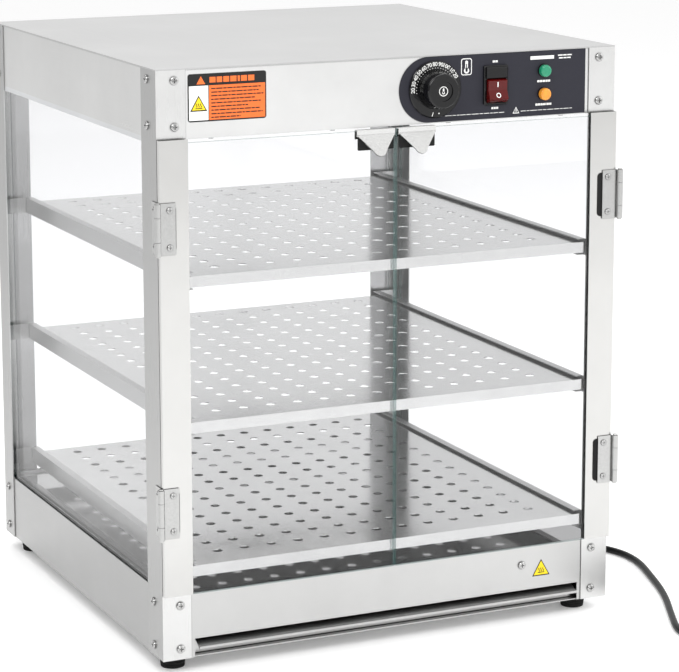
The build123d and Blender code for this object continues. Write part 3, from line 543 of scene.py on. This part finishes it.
def control_print():
    """Captions as plain blocks, and the thermometer sign in its frame."""
    white = []
    for x, z, widths in ((SWITCH[0], SWITCH[1] + 23.4, (2.6, 2.6)),
                         (SWITCH[0], SWITCH[1] - 23.4, (2.2, 2.2, 2.2)),
                         (LAMP_X, LAMP_Z[0] - 10.6, (2.6, 2.6, 2.8, 2.4, 2.4)),
                         (LAMP_X, LAMP_Z[1] - 10.6, (2.4, 2.4, 2.4, 2.2, 1.0, 2.4, 2.4))):
        white += bars(x, z, widths, 2.1, 0.5)
    small = ((90.0, (7, 4, 3, 6, 5, 8, 4, 6, 3, 5, 6)), (171.5, (6, 3, 8, 5, 4, 7, 6, 3, 6, 3)))
    for x, widths in small:
        white += bars(x, SMALL_LINE_Z, widths, 0.55, 0.9)
    white += bars(MARK[0], MARK[1], (27.0,), 3.4)
    for row, widths in enumerate(((5.2, 4.0, 5.2), (4.4, 3.6, 4.0))):
        white += bars(MARK[0] + 26.0, MARK[1] + 1.4 - 2.8 * row, widths, 1.2, 0.7)
    front_sheet("control_captions", white, overlay_face, PRINT, "cabinet", "white")
    x, z = SIGN
    front_sheet("control_sign", [triangle(x, z, 7.6, 6.6)], overlay_face, PRINT, "cabinet", "white")
    front_sheet("control_sign_field", [triangle(x, z - 0.15, 5.4, 4.6)], overlay_face - PRINT, PRINT,
                "cabinet", "overlay")
    front_sheet("control_sign_mark", [rectangle(x - 0.4, x + 0.4, z - 1.7, z + 0.8)],
                overlay_face - 2 * PRINT, PRINT, "cabinet", "white")
    x, z = THERMOMETER
    frame_outline = rounded(x - 6.0, x + 6.0, z - 8.4, z + 8.4, 2.4)
    front_sheet("thermometer_frame", [frame_outline], overlay_face, PRINT, "cabinet", "white")
    hole = rounded(x - 5.1, x + 5.1, z - 7.5, z + 7.5, 1.8)
    front_sheet("thermometer_field", [hole], overlay_face - PRINT, PRINT, "cabinet", "overlay")
    stem = [rounded(x - 1.5, x + 1.5, z - 3.5, z + 6.2, 1.4), disc(x, z - 3.8, 2.9, 24)]
    front_sheet("thermometer_mark", stem, overlay_face - 2 * PRINT, PRINT, "cabinet", "white")
    core = [rectangle(x - 0.5, x + 0.5, z - 2.5, z + 3.0), disc(x, z - 3.8, 1.3, 20)]
    front_sheet("thermometer_core", core, overlay_face - 3 * PRINT, PRINT, "cabinet", "overlay")


def ring_outline(x, z, outer, inner, start=0.0, sweep=360.0, steps=36):
    """A flat ring's stretch as one outline."""
    angles = [radians(start + sweep * k / steps) for k in range(steps + 1)]
    out = [(x + outer * cos(a), z + outer * sin(a)) for a in angles]
    back = [(x + inner * cos(a), z + inner * sin(a)) for a in reversed(angles)]
    return out + back


def flat_number(text, size):
    """A mesh of short text, centred on its own origin."""
    curve = bpy.data.curves.new(f"number_{text}", "FONT")
    curve.body = text
    curve.size = size * MM
    curve.offset = 0.08 * MM
    curve.align_x = "CENTER"
    curve.align_y = "CENTER"
    curve.extrude = PRINT * MM / 2
    obj = bpy.data.objects.new(curve.name, curve)
    scene.collection.objects.link(obj)
    bpy.context.view_layer.update()
    graph = bpy.context.evaluated_depsgraph_get()
    mesh = bpy.data.meshes.new_from_object(obj.evaluated_get(graph))
    mesh.materials.clear()
    bpy.data.objects.remove(obj)
    return mesh


def dial():
    """Numerals, dots and the mark on the cap, which turn with the knob."""
    skirt_face = (knob_high.y - centre_y) / MM - 2.0
    x, z = KNOB
    dots = [disc(x + 21.4 * cos(radians(a)), z + 21.4 * sin(radians(a)), 0.42, 10)
            for a in range(28, 190, 8)]
    dots.append(disc(x + 3.5, z - 24.0, 0.8, 16))
    dots.append([(x - 4.4, z - 26.6), (x - 3.6, z - 26.6), (x - 2.4, z - 22.6), (x - 3.2, z - 22.6)])
    front_sheet("dial_dots", dots, skirt_face, PRINT, "thermostat_control", "white")
    for k, value in enumerate(range(20, 130, 10)):
        angle = 180 - 14.6 * k
        mesh = flat_number(str(value), 5.6)
        spot = at(x + 25.0 * cos(radians(angle)), skirt_face - PRINT / 2, z + 25.0 * sin(radians(angle)))
        stand = Matrix.Rotation(radians(90), 4, "X")
        spin = Matrix.Rotation(radians(angle - 90), 4, "Z")
        mesh.transform(Matrix.Translation(spot) @ stand @ spin)
        piece(f"dial_number_{value}", mesh, "thermostat_control", "white")
    face = (knob_low.y - centre_y) / MM + 1.2
    front_sheet("knob_ring", [ring_outline(x, z, 4.9, 4.2)], face, PRINT, "thermostat_control", "white")
    mark = [rounded(x - 0.8, x + 0.8, z - 2.0, z + 3.0, 0.7, 4), disc(x, z - 1.4, 1.5, 20)]
    front_sheet("knob_mark", mark, face, PRINT, "thermostat_control", "white")


def rocker_marks():
    """Line above and ring below, lying on the rocker's two tilted faces."""
    rise = (ROCKER_TIP - ROCKER_VALLEY) / ROCKER_REACH
    for name, outline, sign in (
            ("rocker_on_mark", rectangle(-0.55, 0.55, -2.5, 2.5), 1),
            ("rocker_off_mark", ring_outline(0, 0, 2.6, 1.7), -1)):
        bm = bmesh.new()
        bm.faces.new([bm.verts.new((x * MM, 0, z * MM)) for x, z in outline])
        mesh = bpy.data.meshes.new(name)
        bm.to_mesh(mesh)
        bm.free()
        depth = ROCKER_VALLEY + rise * ROCKER_MARK_AT + 0.12
        lean = Matrix.Rotation(sign * atan(rise), 4, "X")
        local = Matrix.Translation((0, -depth * MM, sign * ROCKER_MARK_AT * MM)) @ lean
        rest = Matrix.Rotation(radians(-ROCKER_TILT), 4, "X")
        pivot = at(SWITCH[0], overlay_face - 0.6, SWITCH[1] - ROCKER_DROP)
        mesh.transform(Matrix.Translation(pivot) @ rest @ local)
        obj = piece(name, mesh, "rocker", "white")
        solid = obj.modifiers.new("thickness", "SOLIDIFY")
        solid.thickness = 0.1 * MM


def caution_label():
    """Generic label: dark heading strip, hazard field and text as plain bars."""
    x0, x1, z0, z1 = CAUTION
    y = fascia_face
    front_sheet("caution_base", [rounded(x0, x1, z0, z1, 2.5)], y, PRINT, "cabinet", "black")
    header = z1 - 11.5
    split = x0 + 21.0
    front_sheet("caution_orange", [rectangle(split + 0.8, x1 - 1.2, z0 + 1.4, header)], y - PRINT, PRINT,
                "cabinet", "orange")
    front_sheet("caution_white", [rectangle(x0 + 1.2, split, z0 + 1.4, header)], y - PRINT, PRINT,
                "cabinet", "white")
    hazard = [triangle(x0 + 11, (z0 + header) / 2 + 0.5, 17.5, 15.2)]
    front_sheet("caution_hazard_edge", hazard, y - 2 * PRINT, PRINT, "cabinet", "black")
    inner = [triangle(x0 + 11, (z0 + header) / 2 + 0.2, 14.0, 12.2)]
    front_sheet("caution_hazard", inner, y - 3 * PRINT, PRINT, "cabinet", "yellow")
    waves = heat_waves(x0 + 11, (z0 + header) / 2 - 1.6, 0.85)
    front_sheet("caution_hazard_waves", waves, y - 4 * PRINT, PRINT, "cabinet", "black")
    middle = (x0 + x1) / 2
    front_sheet("caution_header_mark", [triangle(middle - 27, z1 - 6.2, 9.0, 7.6)], y - PRINT, PRINT,
                "cabinet", "orange")
    heading = bars(middle + 5, z1 - 6.2, (6.2, 5.6, 6.0, 6.4, 2.2, 6.2, 6.4), 5.4, 1.2)
    front_sheet("caution_header_bars", heading, y - PRINT, PRINT, "cabinet", "orange")
    lines = []
    line_z = header - 3.2
    lengths = (52, 49, 54, 45, 52, 38, 50, 53, 30)
    for length in lengths:
        left = split + 3.0
        words = []
        total = 0.0
        k = 0
        while total < length:
            word = 2.4 + (k * 7 + length) % 5
            words.append((left + total, left + min(total + word, length)))
            total += word + 0.8
            k += 1
        lines += [rectangle(a, b, line_z - 0.55, line_z + 0.55) for a, b in words if b > a]
        line_z -= 3.45
    front_sheet("caution_text_bars", lines, y - 2 * PRINT, PRINT, "cabinet", "black")


def heat_waves(x, z, size):
    """Three wavy upright strokes over a bar."""
    shapes = [rectangle(x - 4.2 * size, x + 4.2 * size, z - 3.6 * size, z - 2.8 * size)]
    for offset in (-2.6, 0.0, 2.6):
        left = []
        right = []
        for k in range(9):
            h = -2.2 + 4.6 * k / 8
            sway = 0.6 * sin(k * pi / 4)
            left.append((x + (offset + sway - 0.4) * size, z + h * size))
            right.append((x + (offset + sway + 0.4) * size, z + h * size))
        shapes.append(left + right[::-1])
    return shapes


def hot_sticker():
    """Yellow triangle with three heat waves on the base."""
    y = (base_low.y - centre_y) / MM
    x, z = HOT_STICKER
    front_sheet("hot_sticker_edge", [triangle(x, z, 20.5, 17.8)], y, PRINT, "cabinet", "black")
    front_sheet("hot_sticker", [triangle(x, z - 0.3, 17.2, 14.8)], y - PRINT, PRINT, "cabinet",
                "yellow")
    front_sheet("hot_sticker_waves", heat_waves(x, z - 2.4, 0.9), y - 2 * PRINT, PRINT, "cabinet",
                "black")


def door_trim():
    """Packing pads under the door leaves, whose overhang past each leaf is painted shade, and the rubber
    behind each clip handle.
    """
    # Each pad reaches past the leaf's inner edge as painted shade, further on the right door.
    for side, sign, shade_overhang in (("right", 1, 5.5), ("left", -1, 0.8)):
        low, high = box(f"{side}_door_leaves")
        inner = (low.x if sign > 0 else high.x) / MM
        stile_low, stile_high = box(f"{side}_door_stile")
        front = (stile_low.y - centre_y) / MM
        outer = (stile_high.x if sign > 0 else stile_low.x) / MM - sign * 1.1
        outlines = []
        for z in ((low.z - body_z) / MM + HINGE_HALF, (high.z - body_z) / MM - HINGE_HALF):
            x0, x1 = sorted((inner - sign * shade_overhang, outer))
            outlines.append(rounded(x0, x1, z - 22.5, z + 22.5, 4.0))
        front_sheet(f"{side}_hinge_packing_and_shade", outlines, front, 0.38, f"{side}_door", "rubber")
        glass_low, glass_high = door_glass[side]
        glass_y = (glass_low.y - centre_y) / MM
        x0, x1 = sorted((sign * 3.0, sign * 42.0))
        top = (glass_high.z - body_z) / MM - 5.3
        pad = rounded(x0, x1, top - 13.5, top, 1.2)
        front_sheet(f"{side}_handle_pad", [pad], glass_y, 0.75, f"{side}_door", "rubber")


control_print()
dial()
rocker_marks()
caution_label()
hot_sticker()
door_trim()


# ---------------------------------------------------------------- stage
SHADE_BAND_SLOPE = 0.315
FLOOR_HALF = 12.0


def add_floor():
    """Pale floor with a wide band of painted shade to the left behind the case, and a faint painted
    glow.
    """
    n = Nodes("floor")
    split = n.new("ShaderNodeSeparateXYZ")
    n.link(n.place, split.inputs[0])
    across = n.maths("SUBTRACT", split.outputs["X"], n.maths("MULTIPLY", split.outputs["Y"], SHADE_BAND_SLOPE))
    share = n.new("ShaderNodeMapRange")
    share.inputs["From Min"].default_value = -2.6
    share.inputs["From Max"].default_value = -0.3
    n.link(across, share.inputs["Value"])
    # Painted shade in the ramp's middle stops; the emission is painted light.
    shade = n.ramp(share.outputs["Result"], [(0.0, 0.97), (0.4, 0.8), (0.78, 0.8), (1.0, 0.97)])
    n.set(Base_Color=shade, Roughness=0.85, Emission_Color=shade, Emission_Strength=0.14)
    mesh = bpy.data.meshes.new("floor")
    corners = [(x * FLOOR_HALF, y * FLOOR_HALF, 0) for x, y in ((-1, -1), (1, -1), (1, 1), (-1, 1))]
    mesh.from_pydata(corners, [], [(0, 1, 2, 3)])
    floor = bpy.data.objects.new("floor", mesh)
    floor.location.z = floor_z - 0.0002
    floor.data.materials.append(n.material)
    scene.collection.objects.link(floor)


def add_light(name, place, target, width, height, power):
    """A soft rectangular light that looks at a target."""
    data = bpy.data.lights.new(name, "AREA")
    data.shape = "RECTANGLE"
    data.size = width
    data.size_y = height
    data.energy = power
    lamp = bpy.data.objects.new(name, data)
    lamp.location = place
    aim = Vector(target) - Vector(place)
    lamp.rotation_euler = aim.to_track_quat("-Z", "Y").to_euler()
    scene.collection.objects.link(lamp)


def add_world():
    """Plain surroundings, brighter to the right than to the left."""
    world = bpy.data.worlds.new("studio")
    world.use_nodes = True
    tree = world.node_tree
    background = tree.nodes["Background"]
    split = tree.nodes.new("ShaderNodeSeparateXYZ")
    tree.links.new(tree.nodes.new("ShaderNodeTexCoord").outputs["Generated"], split.inputs[0])
    spread = tree.nodes.new("ShaderNodeMapRange")
    spread.inputs["From Min"].default_value = -1.0
    tree.links.new(split.outputs["X"], spread.inputs["Value"])
    shade = tree.nodes.new("ShaderNodeValToRGB")
    tree.links.new(spread.outputs["Result"], shade.inputs["Fac"])
    stops = [(0.15, 0.5), (0.36, 0.58), (0.5, 0.97), (0.62, 1.05)]
    while len(shade.color_ramp.elements) < len(stops):
        shade.color_ramp.elements.new(0.5)
    for element, (place, value) in zip(shade.color_ramp.elements, stops):
        element.position = place
        element.color = (value, value, value, 1.0)
    tree.links.new(shade.outputs["Color"], background.inputs["Color"])
    background.inputs["Strength"].default_value = 1.0
    scene.world = world


add_floor()
add_world()
add_light("key", (-1.6, -2.4, 2.6), (0, 0, 0.3), 2.2, 1.6, 70)
add_light("fill", (2.8, -1.6, 1.6), (0, 0, 0.3), 1.6, 2.0, 28)
add_light("top", (0.0, 0.6, 2.8), (0, 0, 0.4), 2.4, 2.4, 30)
scene.view_settings.view_transform = "Standard"
